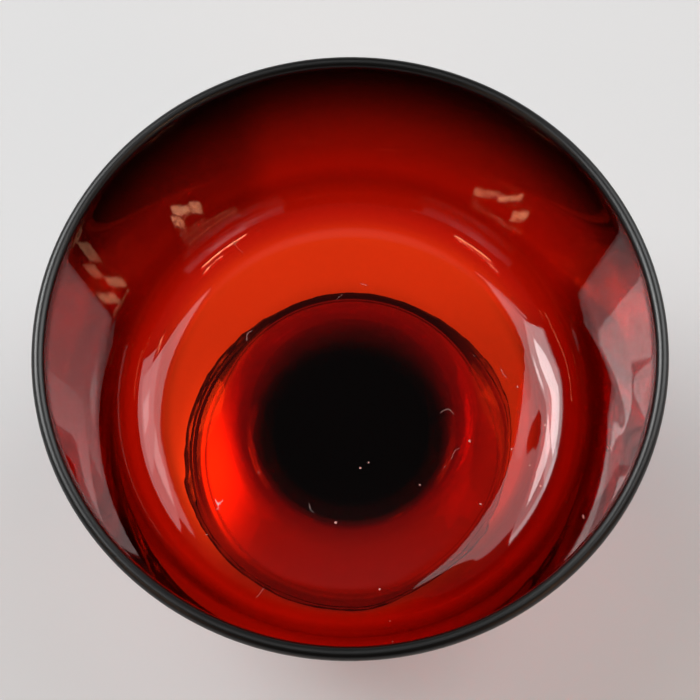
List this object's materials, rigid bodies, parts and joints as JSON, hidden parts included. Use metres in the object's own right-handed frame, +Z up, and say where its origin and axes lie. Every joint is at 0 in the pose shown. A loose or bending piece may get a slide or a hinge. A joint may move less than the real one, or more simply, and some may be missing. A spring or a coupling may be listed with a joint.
{
  "type": "champagne sherbet glass",
  "caption": "Low footed champagne or sherbet glass in deep ruby glass, with an open deep bowl, a short flared stem and a round foot.",
  "frame": {"origin": "centre of the flat ring that the foot stands on, at the lowest point of the glass", "axes": "+Z up along the axis of the bowl, stem and foot; X and Y are any two level directions"},
  "size_m": [0.095, 0.095, 0.067],
  "materials": {
    "ruby_bowl": "fire-polished ruby glass, darkest at the rim",
    "ruby_stem": "solid ruby glass, so deep that it reads black",
    "ruby_foot": "fire-polished ruby glass"
  },
  "bodies": {
    "root": {"bowl": "ruby_bowl", "stem": "ruby_stem", "foot": "ruby_foot"}
  },
  "joints": []
}
